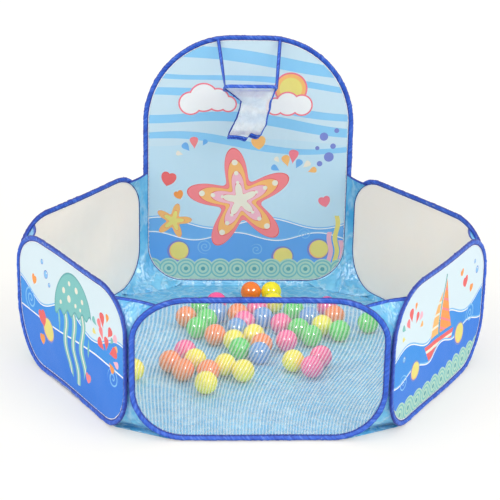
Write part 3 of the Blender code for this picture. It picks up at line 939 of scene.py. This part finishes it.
for wall, sides in {
    "board": (reverse_cloth, board_cloth), "back_left": (boat_cloth, reverse_cloth),
    "back_right": (jelly_cloth, reverse_cloth), "front_left": (jelly_cloth, reverse_cloth),
    "front_right": (boat_cloth, reverse_cloth),
}.items():
    cloth = wall_cloth(f"cloth_{wall}", wall)
    for side in sides:
        cloth.data.materials.append(side)
    thicken(cloth, CLOTH, other_side=1)
    fit_wall(cloth, wall)


# Front window: one fine blue mesh in the front loop, seen through as a veil whose threads
# cross the light in slightly bent lines.
VEIL_PITCH, VEIL_CROSS = 0.0072, 0.0023
veil, tree, shader = new_material("blue_veil", 0.7, specular=0.2)
sketch = Sketch(tree, WHITE)
x, y = sketch.x, sketch.y
drift = y * 0.20 - (y * 17.45).sine() * 0.01146
low = y.by("MINIMUM", 0.25)
spread = low * 0.65 - (low * 25.13).sine() * 0.0259
wave = (x * 29.9 + 0.48).sine() * 0.0027
line = ((x - spread * x - (drift + wave)) * (2 * math.pi / VEIL_PITCH)).sine()
cross = (y * (2 * math.pi / VEIL_CROSS)).sine()
feed(tree, shader.inputs["Alpha"], line * 0.12 + cross * 0.02 + 0.25)
tint(tree, shader, mixed(tree, line * 0.5 + 0.5, colour("#cad5dc"), colour("#f4f4f2")))
window = wall_cloth("mesh_window", "front")
smooth_all(window)
window.data.materials.append(veil)
fit_wall(window, "front")


# Corner gussets: thin light-blue nylon sewn behind two neighbouring sleeves, so that it
# fills the gap between their rounded ends. It is cut wide and crumples. Tape binds its top.
GUSSET_ROWS, GUSSET_SPAN = 76, 34
GUSSET_TOP = 60         # degrees round a hoop's upper corner at which its top edge starts
GUSSET_SEAM = ((0.0126, -0.0022), (0.0114, -0.0030), (0.0100, -0.0038))  # (in from the edge, out)
GUSSET_SLACK = 0.055    # how far it sags inwards, of its width
GUSSET_CRUMPLE = 0.0050
GUSSET_FOOT, GUSSET_SEWN_FOOT = 0.0012, 0.0015      # lowest it lies, and lowest point of its seams
NYLON = 0.0003
TAPE_ROWS, TAPE_THICK = 4, 0.0030
TAPE_UP, TAPE_WAVY, TAPE_ROUND = 0.4, 0.0005, 0.0009     # rows above the edge, its waves, its rounding
PULL_SHARE = 0.30       # length of a pull along its top edge, as a share of that edge
CORNERS = {  # gusset: its corner, the wall that ends there, the wall that starts there
    "back_left": ("BL", "board", "back_left"), "left": ("L", "back_left", "front_left"),
    "front_left": ("FL", "front_left", "front"), "front_right": ("FR", "front", "front_right"),
    "right": ("R", "front_right", "back_right"), "back_right": ("BR", "back_right", "board"),
}


def moved(points, matrix):
    """Rows of points taken through a matrix."""
    matrix = np.array(matrix)
    return points @ matrix[:3, :3].T + matrix[:3, 3]


def hoop_end(wall, at_end, inset, out):
    """Row by row from foot to top, the points by a hoop's rounded end."""
    (fx, fz), (tx, tz) = (RADII[wall][k] for k in ((1, 2) if at_end else (0, 3)))
    half = GUSSET_ROWS // 2
    down = np.radians(np.linspace(90, 0, half))
    turn = np.radians(np.linspace(0, GUSSET_TOP, half))
    lower = np.c_[fx * (1 - np.cos(down)), FOOT + fz * (1 - np.sin(down))]
    if wall == "board":
        reach = RADII["front"][2][1]
        upper = np.c_[np.zeros(half), WALL_TOP - reach + reach * np.sin(turn)]
    else:
        upper = np.c_[tx * (1 - np.cos(turn)), WALL_TOP - tz + tz * np.sin(turn)]
    line = np.vstack([lower, upper[1:]])
    ahead = np.vstack([line[1:], line[-1:]]) - np.vstack([line[:1], line[:-1]])
    ahead /= np.linalg.norm(ahead, axis=1)[:, None]
    line = line + np.c_[ahead[:, 1], -ahead[:, 0]] * inset
    u = SPAN - line[:, 0] if at_end else line[:, 0]
    v = np.maximum(line[:, 1], GUSSET_SEWN_FOOT)
    return moved(np.c_[u, v, out + bowed(wall, u, v)], wall_frame(wall))


def gusset_surface(first, second, inward, seed):
    """Grid of points: up the rows, and across from one wall's seam to the other's."""
    left = [hoop_end(first, True, *seam) for seam in GUSSET_SEAM]
    right = [hoop_end(second, False, *seam) for seam in GUSSET_SEAM]
    p, q = left[-1], right[-1]
    width = np.linalg.norm(q - p, axis=1)[:, None]
    share = np.linspace(0, 1, GUSSET_SPAN)
    free = [p + (q - p) * t + inward * (GUSSET_SLACK * width * math.sin(math.pi * t)) for t in share]
    surface = np.stack(left[:-1] + free + right[:-1][::-1], axis=1)
    side = len(GUSSET_SEAM) - 1
    # The foot of the cloth lies down on the ground between the two walls
    rise = np.linspace(0, 1, surface.shape[0])[:, None]
    lying = np.clip(1 - rise * 11, 0, 1) ** 2
    between = np.zeros(surface.shape[1])
    between[side:-side] = np.clip(9 * share * (1 - share), 0, 1)
    surface[..., 2] += (FOOT - surface[..., 2]) * lying * between
    # It crumples most in the middle, and less at its top edge and its foot
    flat = surface.reshape(-1, 3)
    loose = np.zeros(surface.shape[:2])
    loose[:, side:-side] = np.minimum(width / 0.15, 1.0) * np.sin(np.pi * share) ** 0.6
    loose *= np.minimum(1.0, (1 - rise) * 9 + 0.25) * np.clip(rise * 9, 0.0, 1.0)
    creases = ridged(flat * (1, 1, 0.55), 21, seed) * 0.75 + rolling(flat, 10, seed + 9) * 0.9
    creases += ridged(flat * (1.2, 1.2, 0.9), 47, seed + 5) * 0.34
    push = loose * creases.reshape(loose.shape) * GUSSET_CRUMPLE
    surface += push[..., None] * inward
    surface[..., 2] = np.maximum(surface[..., 2], GUSSET_FOOT)
    return surface


def sheet_from(name, surface, plan="plan", lengthways=False):
    """A grid cloth whose vertices take the surface's points; its plan may run down the rows."""
    rows, across = surface.shape[:2]
    obj = grid(name, across - 1, rows - 1)
    set_coordinates(obj.data, surface.reshape(-1, 3))
    run = np.cumsum(np.r_[0, np.linalg.norm(np.diff(surface[rows // 4], axis=0), axis=1)])
    climb = np.cumsum(np.r_[0, np.linalg.norm(np.diff(surface[:, across // 2], axis=0), axis=1)])
    flat = (np.tile(run, rows), np.repeat(climb, across))
    lay_plan(obj.data, *(flat[::-1] if lengthways else flat), plan)
    smooth_all(obj)
    return obj


def nylon(name, light, dark, clear):
    """Thin coated nylon: a slight shine, fine crumples, painted shade and light across its folds, painted
    highlights on the crumples' ridges and painted shade in their valleys.
    """
    mat, tree, shader = new_material(name, 0.40, sheen=0.2, specular=0.4)
    folds = noise_node(tree, "object", 13, 4, (1, 1, 0.55))
    # Painted shade and light: the colour runs from dark in the folds' hollows to light on their tops
    fold_shading = add_node(tree, "ValToRGB", (folds,))
    for stop, place, tone in zip(fold_shading.color_ramp.elements, (0.30, 0.66), (dark, light)):
        stop.position, stop.color = place, tone
    crumples = ((noise_node(tree, "object", scale, 3, (1, 1, tall)), sharp)
                for scale, tall, sharp in ((26, 0.42, 15.0), (17, 0.6, 12.0)))
    lit_ridge, shaded_valley = ((1.0 - (grain - 0.5).by("ABSOLUTE") * sharp).clamped() for grain, sharp in crumples)
    # Painted highlight on the crumples' ridges, painted shade in their valleys
    tone = mixed(tree, lit_ridge * 0.42, fold_shading.outputs[0], colour("#d3f1fd"))
    tint(tree, shader, mixed(tree, shaded_valley * 0.50, tone, dark))
    crushed = bump(tree, shader, lit_ridge - shaded_valley, 0.0016)
    bump(tree, shader, folds, 0.0050, crushed)
    shader.inputs["Alpha"].default_value = clear
    return mat


gusset_nylon = nylon("gusset_nylon", colour("#8bdbfb"), colour("#3fa8e0"), 0.95)
for number, (name, (at, first, second)) in enumerate(CORNERS.items()):
    surface = gusset_surface(first, second, np.array(-corner[at].normalized()), 31 + number)
    cloth = sheet_from(f"nylon_{name}", surface)
    thicken(cloth, NYLON)
    cloth.data.materials.append(gusset_nylon)
    pull = Vector(surface[-1, -1] - surface[-1, 0]) * PULL_SHARE
    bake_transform(cloth)
    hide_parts(f"gusset_{name}")
    # Tape folded over the top edge
    top = surface[::-1][:TAPE_ROWS].copy()
    top[0] += (top[0] - top[1]) * TAPE_UP
    rows = np.repeat(top, 2, axis=0)[:-1]
    rows[1::2] = (top[:-1] + top[1:]) / 2
    rows[..., 2] += TAPE_WAVY * rolling(rows.reshape(-1, 3), 90, number).reshape(rows.shape[:2])
    tape = sheet_from(f"top_tape_{name}", rows, "tape")
    thicken(tape, TAPE_THICK)
    apply_modifier(tape, "BEVEL", width=TAPE_ROUND, segments=2)
    tape.data.materials.append(binding)
    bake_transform(tape)


# Floor: one sheet of the same nylon, sewn to the inner side of every sleeve's foot, so its
# edge turns up there. It lies loosely, creased from being folded away.
FLOOR_REACH = 0.72      # how far round a hoop's lower corner the sheet is sewn, of the corner's length
FLOOR_IN = 0.0078       # where the sheet starts to climb, in from the hoops' plane
FLOOR_LIES, FLOOR_THICK, FLOOR_CELL = 0.0006, 0.0005, 0.0090
FLOOR_FOLDS = ((0.0016, 7, 3, 4), (0.0010, 17, 8, 3))     # height, waves per metre, seed, sharpness
FOLDS_END, FOLDS_FADE = 0.50, 0.06      # how far from the middle the creases end, and over what length
CLIMB = ((0.0014, 0.0038), (0.0006, 0.0044), (0.0022, 0.0034), (0.0013, 0.0014))  # (out, up) each
EDGE_NEAR_IN, EDGE_NEAR_UP = 0.0048, 0.0012     # how near the last step an open edge belongs to it

outline = []
for wall in WALLS:
    place = wall_frame(wall)
    foot_start, foot_end = (RADII[wall][k][0] * FLOOR_REACH for k in (0, 1))
    for u in np.linspace(foot_start, SPAN - foot_end, 40):
        outline.append((place @ Vector((u, 0, -FLOOR_IN + float(bowed(wall, u, 0.0)))))[:2])
floor = cut_cloth("nylon_floor", np.array(outline), FLOOR_CELL)
co = coordinates(floor.data)
lay_plan(floor.data, co[:, 0], co[:, 1])
middle = np.clip((FOLDS_END - np.linalg.norm(co[:, :2], axis=1)) / FOLDS_FADE, 0, 1)
folds = sum(high * np.clip(ridged(co, scale, seed), 0, 1) ** sharp
            for high, scale, seed, sharp in FLOOR_FOLDS)
co[:, 2] = FLOOR_LIES + middle * folds
set_coordinates(floor.data, co)

level, inner = FLOOR_LIES, FLOOR_IN
for out, up in CLIMB:
    for wall in WALLS:
        start, along, outward = wall_axes(wall)
        mesh = floor.data
        co = coordinates(mesh)
        reach = start.dot(outward) + PLANE_OUT - co @ np.array(outward)
        run = (co - np.array(start)) @ np.array(along)
        foot_start, foot_end = (RADII[wall][k][0] * (FLOOR_REACH - 0.02) for k in (0, 1))
        keep = open_edge(floor) & (run > foot_start) & (run < SPAN - foot_end)
        keep &= (np.abs(reach - inner) < EDGE_NEAR_IN) & (np.abs(co[:, 2] - level) < EDGE_NEAR_UP)
        mesh.vertices.foreach_set("select", keep)
        for edge in mesh.edges:
            edge.select = bool(keep[edge.vertices[0]] and keep[edge.vertices[1]])
        for face in mesh.polygons:
            face.select = False
        with editing(floor) as mesh_tools:
            mesh_tools.select_mode(type="EDGE")
            mesh_tools.extrude_region_move(TRANSFORM_OT_translate={"value": outward * out + UP * up})
            mesh_tools.select_mode(type="VERT")
    level, inner = level + up, inner - out
thicken(floor, FLOOR_THICK)
floor.data.materials.append(nylon("floor_nylon", colour("#70c8f1"), colour("#4aaee0"), 1.0))
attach(floor, "board")
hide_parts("floor")
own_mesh(floor)


# Basketball ring: a small square loop of wire in a narrow sleeve, its back bar sewn to the
# board by a short tape, its front held up by two straps.
TILT = math.radians(17.5)
RING_W, RING_D, RING_CORNER = 0.150, 0.160, 0.030
RING_TUBE = 0.0034
RING_STEP, RING_PUCKER = 0.0030, 0.0003
RING_Z = 0.583
RING_HANG = math.radians(68)
HANG_FROM, HANG_OVER = 0.014, 0.060     # where the sleeve starts to turn down, and over what length
BACK_TAPE = 0.0008
board_face = corner["BR"].y + PLANE_OUT - 0.0004
ring_back = board_face - 0.0003 - RING_TUBE
ring_frame = Matrix([
    [1, 0, 0, -RING_W / 2],
    [0, -math.cos(TILT), -math.sin(TILT), ring_back],
    [0, math.sin(TILT), -math.cos(TILT), RING_Z],
    [0, 0, 0, 1],
])


def taped(tape, thickness):
    """Makes a sheet a length of narrow tape."""
    thicken(tape, thickness)
    tape.data.materials.append(narrow_tape)
    return tape


corners = ((RING_CORNER, RING_CORNER),) * 4
loop, length = rounded_loop(RING_W, -RING_TUBE, RING_D - RING_TUBE, corners, RING_STEP)
ring = sleeve("ring_sleeve", loop, length, RING_TUBE / TUBE, RING_PUCKER, 77)
# The net is sewn between its lips and pulls them down, so the section turns about the wire,
# but not on the back bar, which folds against the board
co = coordinates(ring.data)
ahead = np.clip((co[:, 1] - HANG_FROM) / HANG_OVER, 0, 1)
hang = RING_HANG * ahead * ahead * (3 - 2 * ahead)
half = np.array([RING_W, RING_D]) / 2
wire_bend = RING_CORNER - RING_TUBE
place = co[:, :2] - (half - (0, RING_TUBE))
beyond = np.abs(place) - (half - RING_CORNER)
round_corner = np.maximum(beyond, 0)
reach = np.linalg.norm(round_corner, axis=1)
inset = wire_bend - reach - np.minimum(beyond.max(axis=1), 0)
straight = np.where(beyond[:, :1] > beyond[:, 1:], (1.0, 0.0), (0.0, 1.0))
away = np.where(reach[:, None] > 0, round_corner / np.maximum(reach, 1e-9)[:, None], straight)
away *= np.sign(place)
turned = inset * np.cos(hang) + co[:, 2] * np.sin(hang)
co[:, 2] = co[:, 2] * np.cos(hang) - inset * np.sin(hang)
co[:, :2] += away * (inset - turned)[:, None]
set_coordinates(ring.data, co)
ring.data.transform(ring_frame)
ring.data.materials.append(narrow_tape)
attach(ring, "hoop")
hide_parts("hoop_binding")

tape_low, tape_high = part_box("hoop_tape")
rows = np.array([[(x, tape_low.y + 0.0004 + 0.0003 * math.sin(300 * x), z)
                  for x in np.linspace(tape_low.x, tape_high.x, 40)]
                 for z in np.linspace(tape_high.z, tape_low.z, 8)])
ring_tape = taped(sheet_from("ring_tape", rows, "tape"), BACK_TAPE)
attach(ring_tape, "board")
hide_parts("hoop_tape")


# Net: sheer white cloth gathered inside the ring, drawn in to a crumpled tube, with blue
# tape on both side seams and round its foot. It hangs from the ring alone.
NET_ROWS, NET_AROUND = 44, 96
NET_SEWN_IN = 0.0066    # the net's top edge, in from the ring's outer edge
NET_STATIONS = (  # share of the way down, middle x, middle y, height, half width, half depth
    (0.34, 0.017, 0.432, 0.578, 0.0360, 0.0400),
    (0.50, 0.0122, 0.432, 0.552, 0.0383, 0.0380),
    (0.76, 0.002, 0.432, 0.512, 0.0385, 0.0340),
    (1.0, -0.0138, 0.430, 0.481, 0.0327, 0.0260),
)
NET_BLUNT = 3.4         # 2 is round, more is squarer
# How far the foot's front hangs down, from its left side to its right; its back hangs lower
FRONT_DIP = ((0, 0.18, 0.54, 0.66, 1), (0.0080, 0.0080, 0.0130, 0.0, 0.0095))
BACK_DIP = 0.0100
FRONT_AT, FRONT_OVER = 0.442, 0.020     # y at which the front ends, and over what depth it changes
LEFT_STANDS = 0.011
KNIT = 2 * math.pi / 0.0018
HEM_ROWS, HEM_THICK, SEAM_THICK, SEAM_OUT = 5, 0.0014, 0.0032, 0.0024
# Columns of the net that its seam tapes cover
NET_SEAMS = {"left": range(-4, 1), "right": range(NET_AROUND // 2 + 1, NET_AROUND // 2 + 7)}


def rounded_square(half_width, half_depth):
    """Points round a soft square, from its left side anticlockwise as seen from below."""
    turn = np.linspace(0, 2 * np.pi, NET_AROUND, endpoint=False) + np.pi
    c, s = np.cos(turn), np.sin(turn)
    blunt = (np.abs(c) ** NET_BLUNT + np.abs(s) ** NET_BLUNT) ** (-1 / NET_BLUNT)
    return np.c_[half_width * c * blunt, half_depth * s * blunt]


def outward_of(surface):
    """Level directions out of the middle of each row of a tube."""
    away = surface - surface.mean(axis=1, keepdims=True)
    away[..., 2] = 0
    return away / np.linalg.norm(away, axis=2, keepdims=True)


def closed_sheet(name, surface, plan="plan"):
    """A sheet sewn into a tube: its last column meets its first."""
    obj = sheet_from(name, np.concatenate([surface, surface[:, :1]], axis=1), plan)
    with editing(obj) as mesh_tools:
        mesh_tools.select_all(action="SELECT")
        mesh_tools.remove_doubles(threshold=0.00001)
        mesh_tools.normals_make_consistent(inside=False)
    smooth_all(obj)
    return obj


sewn = rounded_square(RING_W / 2 - NET_SEWN_IN, RING_D / 2 - NET_SEWN_IN)
sewn += (RING_W / 2, RING_D / 2 - RING_TUBE)
stations = [moved(np.c_[sewn, np.zeros(NET_AROUND)], ring_frame)]
for _, x, y, z, wide, deep in NET_STATIONS:
    stations.append(np.c_[rounded_square(wide, deep) * (1, -1) + (x, y), np.full(NET_AROUND, z)])
heights = [0.0] + [station[0] for station in NET_STATIONS]
rows = []
for level in np.linspace(0, 1, NET_ROWS):
    k = min(int(np.searchsorted(heights, level, side="right")) - 1, len(heights) - 2)
    t = (level - heights[k]) / (heights[k + 1] - heights[k])
    rows.append(stations[k] * (1 - t) + stations[k + 1] * t)
net_surface = np.array(rows)
net_surface[1:-1] = (net_surface[:-2] + 2 * net_surface[1:-1] + net_surface[2:]) / 4
outward = outward_of(net_surface)
flat_points = net_surface.reshape(-1, 3)
crumple = 0.0030 * ridged(flat_points * (1, 1, 0.45), 42, 4) + 0.0016 * rolling(flat_points, 90, 6)
hang = np.clip(np.linspace(0, 1, NET_ROWS) * 4, 0, 1)[:, None]
foot = np.linspace(0, 1, NET_ROWS)[:, None] ** 5
folded = 0.0052 * rolling(net_surface[-1] * (1, 1, 0), 38, 12) + 0.0030 * ridged(net_surface[-1], 55, 2)
net_surface += outward * (crumple.reshape(NET_ROWS, NET_AROUND) * hang + foot * folded)[..., None]
# The front of its foot hangs in two folds, and its left side stands away
edge_x, edge_y = net_surface[-1, :, 0], net_surface[-1, :, 1]
across = (edge_x - edge_x.min()) / (edge_x.max() - edge_x.min())
front = np.clip((FRONT_AT - edge_y) / FRONT_OVER, 0, 1)
sag = 0.0020 * rolling(net_surface[-1] * (1, 1, 0), 46, 15) - np.interp(across, *FRONT_DIP) * front
sag -= BACK_DIP * (1 - front)
lower = np.clip(np.linspace(-1.25, 1.25, NET_ROWS), 0, 1)[:, None] ** 2
net_surface[..., 2] += lower * sag
net_surface[..., 0] -= lower * LEFT_STANDS * np.clip(1 - across / 0.3, 0, 1)

sheer, tree, shader = new_material("sheer_net", 0.75, sheen=0.2, specular=0.2)
along, over = split(tree, uv_map(tree, "plan"))
patch = noise_node(tree, "object", 40)
feed(tree, shader.inputs["Alpha"], (along * KNIT).sine() * (over * KNIT).sine() * 0.14 + patch * 0.22 + 0.30)
tint(tree, shader, mixed(tree, patch, colour("#f1eeee"), WHITE))

net = closed_sheet("ring_net", net_surface)
net.data.materials.append(sheer)
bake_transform(net)
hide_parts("net")

hem_rows = net_surface[-HEM_ROWS:].copy()
wave = rolling(hem_rows.reshape(-1, 3), 110, 3).reshape(hem_rows.shape[:2])
hem_rows += outward_of(hem_rows) * (0.0011 + 0.0010 * wave[..., None])
hem = taped(closed_sheet("net_hem_tape", hem_rows, "tape"), HEM_THICK)
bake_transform(hem)
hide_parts("net_hem")

for side, columns in NET_SEAMS.items():
    picked = [k % NET_AROUND for k in columns]
    strip = net_surface[:, picked] + outward[:, picked] * SEAM_OUT
    seam = taped(sheet_from(f"net_seam_{side}", strip, "tape", lengthways=True), SEAM_THICK)
    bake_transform(seam)


# Straps: two lengths of the same tape, sewn into the board's top sleeve and round the
# ring's front corners. They carry the ring, so they hang nearly straight.
STRAP_W, STRAP_T = 0.0100, 0.0011
STRAP_BEHIND, STRAP_UNDER = 0.0016, 0.012       # its top end, in front of the board's face and under its top
STRAP_BELLY = 0.0022
STRAPS = (      # side, x at its top, x at its foot, degrees that it is turned at its top and foot
    ("left", -0.089, -0.0700, 18, 82), ("right", 0.084, 0.0705, 4, 50),
)
WIDE = Vector((1, 0, 0))
for side, x_top, x_foot, turn_top, turn_foot in STRAPS:
    back = wire_bend - math.sqrt(wire_bend ** 2 - (abs(x_foot) - (RING_W / 2 - RING_CORNER)) ** 2)
    foot = ring_frame @ Vector((x_foot + RING_W / 2, RING_D - 2 * RING_TUBE - back, RING_TUBE))
    top = Vector((x_top, board_face - STRAP_BEHIND, BOARD_TOP - STRAP_UNDER))
    face = (foot - top).normalized().cross(WIDE).normalized()
    rows = []
    for t in np.linspace(0, 1, 40):
        turn = math.radians(turn_top + (turn_foot - turn_top) * t ** 2)
        w = WIDE * math.cos(turn) + face * math.sin(turn)
        middle = top.lerp(foot, t) + face * STRAP_BELLY * math.sin(math.pi * t)
        rows.append([middle + w * STRAP_W * s for s in (-0.5, -0.25, 0, 0.25, 0.5)])
    strap = taped(sheet_from(f"strap_tape_{side}", np.array(rows), "tape", lengthways=True), STRAP_T)
    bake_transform(strap)
    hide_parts(f"strap_{side}")
    (foot - top).length


# Play balls: hollow blow-moulded balls 58 mm across, with a fine parting line round the
# middle. They lie loose on the floor, each turned its own way.
BALL_R = 0.029
LINE_WIDE, LINE_HIGH = 0.0012, 0.006
BALL_PAINT = {"orange": "#ff8012", "green": "#40d64c", "pink": "#ff549c", "blue": "#5698dc",
              "yellow": "#fff010"}
LOOSE = (
    (-0.116, 0.169, "green"), (-0.088, 0.220, "blue"), (-0.014, 0.156, "pink"), (-0.031, -0.039, "green"),
    (0.009, 0.058, "yellow"), (0.019, -0.068, "blue"), (0.131, 0.103, "green"), (0.196, 0.128, "yellow"),
    (0.177, -0.090, "pink"), (-0.177, -0.180, "orange"), (-0.147, -0.115, "yellow"),
    (-0.120, -0.260, "yellow"), (-0.071, -0.147, "yellow"), (0.011, 0.385, "orange"),
    (0.069, 0.386, "yellow"),
)
bpy.ops.mesh.primitive_uv_sphere_add(segments=48, ring_count=24, radius=BALL_R)
pattern = bpy.context.object
pattern.name = "ball_pattern"
co = coordinates(pattern.data)
co[:, :2] *= 1 + LINE_HIGH * np.exp(-(co[:, 2:] / LINE_WIDE) ** 2)
set_coordinates(pattern.data, co)
smooth_all(pattern)
ball_mats = {}
for name, code in BALL_PAINT.items():
    ball_mats[name], tree, shader = new_material(f"ball_{name}", 0.10, specular=0.4)
    tint(tree, shader, mixed(tree, noise_node(tree, "object", 60) * 0.04, colour(code), WHITE))
    bump(tree, shader, noise_node(tree, "object", 240, 2), 0.00001)


def play_ball(name, place, paint, seed):
    ball = pattern.copy()
    ball.data = pattern.data.copy()
    ball.name = ball.data.name = name
    bpy.context.scene.collection.objects.link(ball)
    rng = np.random.default_rng(seed)
    spin = Quaternion(Vector(rng.normal(size=3)).normalized(), float(rng.uniform(0, 6.28)))
    ball.data.transform(Matrix.Translation(place) @ spin.to_matrix().to_4x4())
    ball.data.materials.append(ball_mats[paint])
    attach(ball, "balls")
    return ball


slots = {s["node"]: s["material_slot"] for s in frame["record"]["subparts"] if s["node"].startswith("ball_")}
for number, (node, slot) in enumerate(sorted(slots.items())):
    low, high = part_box(node)
    ball = play_ball(f"play_{node}", (low + high) / 2, slot.removeprefix("ball_"), 500 + number)
    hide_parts(node)
low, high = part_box("ball_01")
for number, (x, y, paint) in enumerate(LOOSE):
    play_ball(f"loose_ball_{number + 1:02d}", Vector((x, y, (low.z + high.z) / 2)), paint, 700 + number)
bpy.data.objects.remove(pattern, do_unlink=True)

bpy.context.view_layer.update()
